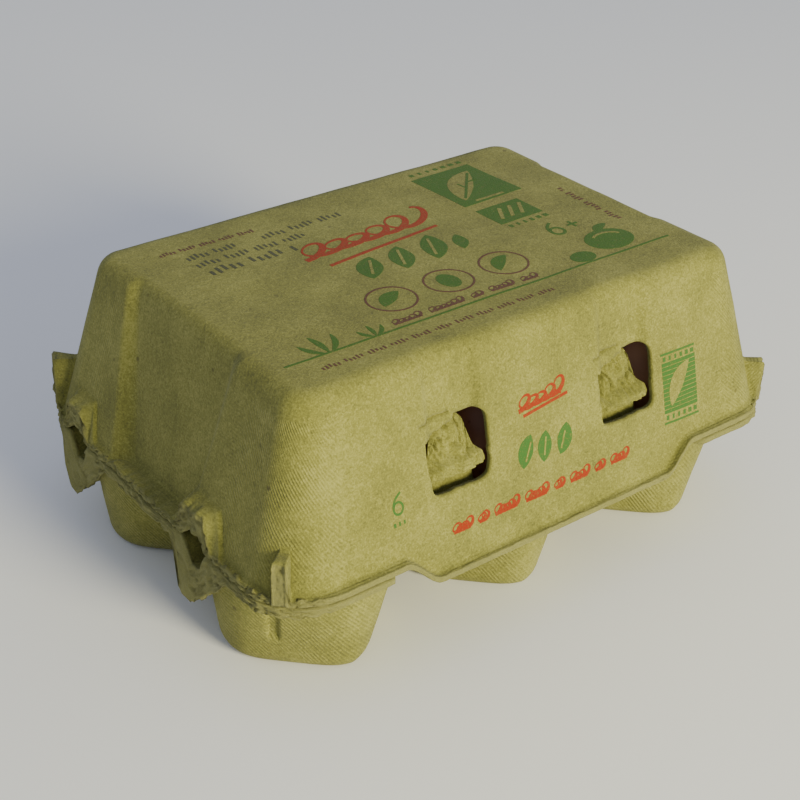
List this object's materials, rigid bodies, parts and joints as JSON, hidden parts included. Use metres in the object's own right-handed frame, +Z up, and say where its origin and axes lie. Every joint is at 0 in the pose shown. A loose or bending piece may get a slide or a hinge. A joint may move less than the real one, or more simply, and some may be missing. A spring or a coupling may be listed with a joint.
{
  "type": "egg carton with eggs",
  "caption": "Shut moulded-pulp egg carton with a hinged, printed lid, front latch knobs in windows, corner ribs and brown eggs inside.",
  "frame": {"origin": "on the ground under the middle of the carton, hinge fold included", "axes": "+X along the front towards its right end, +Y from the front to the hinge, +Z up"},
  "size_m": [0.152, 0.1136, 0.0691],
  "materials": {
    "tray_pulp": "matte moulded paper pulp, yellow-green",
    "lid_pulp": "matte moulded paper pulp, yellow-green, printed in green, red and plum",
    "eggshell": "satin brown shell"
  },
  "bodies": {
    "base": {"tray": "tray_pulp", "egg_front_left": "eggshell", "egg_front_middle": "eggshell", "egg_front_right": "eggshell", "egg_back_left": "eggshell", "egg_back_middle": "eggshell", "egg_back_right": "eggshell"},
    "cover": {"lid": "lid_pulp"}
  },
  "joints": [
    {"name": "lid_hinge", "type": "hinge", "parent": "base", "child": "cover", "pos_m": [0, 0.0568, 0.0272], "axis": [-1, 0, 0], "range_deg": [0, 145]}
  ]
}
